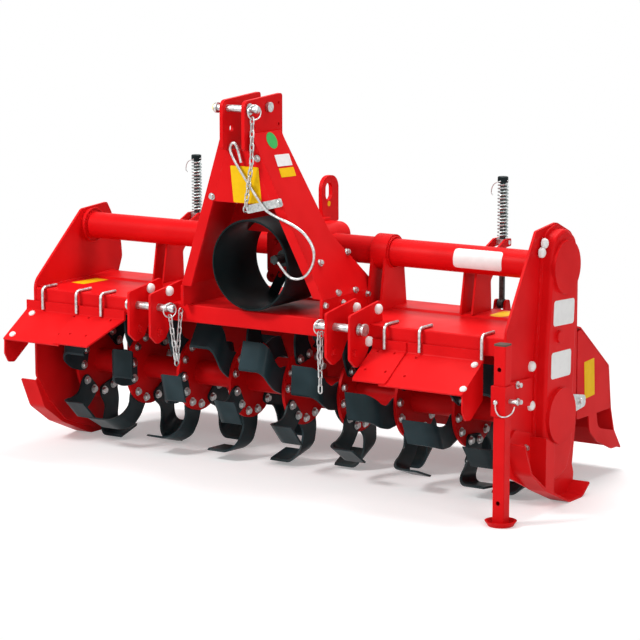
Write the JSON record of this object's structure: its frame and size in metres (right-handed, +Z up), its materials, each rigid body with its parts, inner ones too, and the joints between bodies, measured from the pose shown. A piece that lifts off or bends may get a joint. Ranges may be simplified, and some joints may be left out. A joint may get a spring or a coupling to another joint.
{
  "type": "rotary tiller",
  "caption": "Tractor-mounted rotary tiller: three-point mast, cross tube, side gear drive, flanged rotor of bent tines under a deck, sprung tailboard, skids and parking stand.",
  "frame": {"origin": "bottom centre of the whole machine's box, on the floor it stands on", "axes": "+X along the rotor from the plain side to the side drive, +Y away from the tractor, +Z up"},
  "size_m": [2.2443, 1.0736, 1.4251],
  "materials": {
    "red_paint": "gloss",
    "tine_steel": "satin",
    "zinc_plate": "satin",
    "bare_steel": "satin",
    "black_guard": "satin"
  },
  "bodies": {
    "frame": {"cross_tube_left": "red_paint", "cross_tube_right": "red_paint", "deck": "red_paint", "front_guard_left": "red_paint", "front_guard_right": "red_paint", "gearbox": "red_paint", "guard_rods_left": "zinc_plate", "guard_rods_right": "zinc_plate", "hitch_cheek_inner_left": "red_paint", "hitch_cheek_inner_right": "red_paint", "hitch_cheek_outer_left": "red_paint", "hitch_cheek_outer_right": "red_paint", "lifting_eye": "red_paint", "lower_link_pin_left": "zinc_plate", "lower_link_pin_right": "zinc_plate", "mast_foot_left": "red_paint", "mast_foot_right": "red_paint", "mast_front_sheet": "red_paint", "mast_plate_left": "red_paint", "mast_plate_right": "red_paint", "rotor_bearing_cap": "red_paint", "rotor_bearing_left": "red_paint", "rotor_bearing_right": "red_paint", "shaft_shield": "black_guard", "side_drive_cover": "red_paint", "side_plate_left": "red_paint", "side_plate_right": "red_paint", "skid_left": "red_paint", "skid_right": "red_paint", "spring_strut_left": "red_paint", "spring_strut_right": "red_paint", "stand_pin": "zinc_plate", "stand_sleeve": "red_paint", "tailboard_catch": "zinc_plate", "tailboard_hinge_pins": "red_paint", "top_ear_bolt": "zinc_plate", "top_ear_left": "red_paint", "top_ear_right": "red_paint", "top_link_pin": "zinc_plate"},
    "rotor": {"rotor_shaft": "red_paint", "tines_1": "tine_steel", "tines_2": "tine_steel", "tines_3": "tine_steel", "tines_4": "tine_steel", "tines_5": "tine_steel", "tines_6": "tine_steel", "tines_7": "tine_steel", "tines_8": "tine_steel", "tines_9": "tine_steel"},
    "input": {"input_shaft": "bare_steel"},
    "tail": {"tailboard": "red_paint"},
    "stand": {"stand_leg": "red_paint"},
    "trunnion_left": {"spring_trunnion_left": "zinc_plate", "spring_upper_left": "zinc_plate", "spring_lower_left": "zinc_plate"},
    "rod_left": {"spring_rod_left": "zinc_plate"},
    "trunnion_right": {"spring_trunnion_right": "zinc_plate", "spring_upper_right": "zinc_plate", "spring_lower_right": "zinc_plate"},
    "rod_right": {"spring_rod_right": "zinc_plate"}
  },
  "joints": [
    {"name": "rotor_spin", "type": "hinge", "parent": "frame", "child": "rotor", "pos_m": [0, -0.07, 0.308], "axis": [1, 0, 0], "continuous": true},
    {"name": "input_spin", "type": "hinge", "parent": "frame", "child": "input", "pos_m": [0, -0.22, 0.808], "axis": [0, 1, 0], "continuous": true},
    {"name": "tailboard_lift", "type": "hinge", "parent": "frame", "child": "tail", "pos_m": [0, 0.133, 0.608], "axis": [1, 0, 0], "range_deg": [0, 35]},
    {"name": "stand_slide", "type": "slide", "parent": "frame", "child": "stand", "axis": [0, 0, 1], "range_m": [0, 0.3]},
    {"name": "trunnion_swing_left", "type": "hinge", "parent": "frame", "child": "trunnion_left", "pos_m": [-0.69, 0.2, 0.873], "axis": [1, 0, 0], "range_deg": [-9.6, 0]},
    {"name": "rod_slide_left", "type": "slide", "parent": "trunnion_left", "child": "rod_left", "axis": [0, 0, 1], "range_m": [0, 0.03], "deforming": ["spring_upper_left", "spring_lower_left"]},
    {"name": "trunnion_swing_right", "type": "hinge", "parent": "frame", "child": "trunnion_right", "pos_m": [0.69, 0.2, 0.873], "axis": [1, 0, 0], "range_deg": [-9.6, 0]},
    {"name": "rod_slide_right", "type": "slide", "parent": "trunnion_right", "child": "rod_right", "axis": [0, 0, 1], "range_m": [0, 0.03], "deforming": ["spring_upper_right", "spring_lower_right"]}
  ],
  "couplings": [
    {"joint": "input_spin", "follows": "rotor_spin", "ratio": -2.35},
    {"joint": "trunnion_swing_left", "follows": "tailboard_lift", "ratio": -0.27},
    {"joint": "rod_slide_left", "follows": "tailboard_lift", "m_per_rad": 0.048},
    {"joint": "trunnion_swing_right", "follows": "tailboard_lift", "ratio": -0.27},
    {"joint": "rod_slide_right", "follows": "tailboard_lift", "m_per_rad": 0.048}
  ]
}
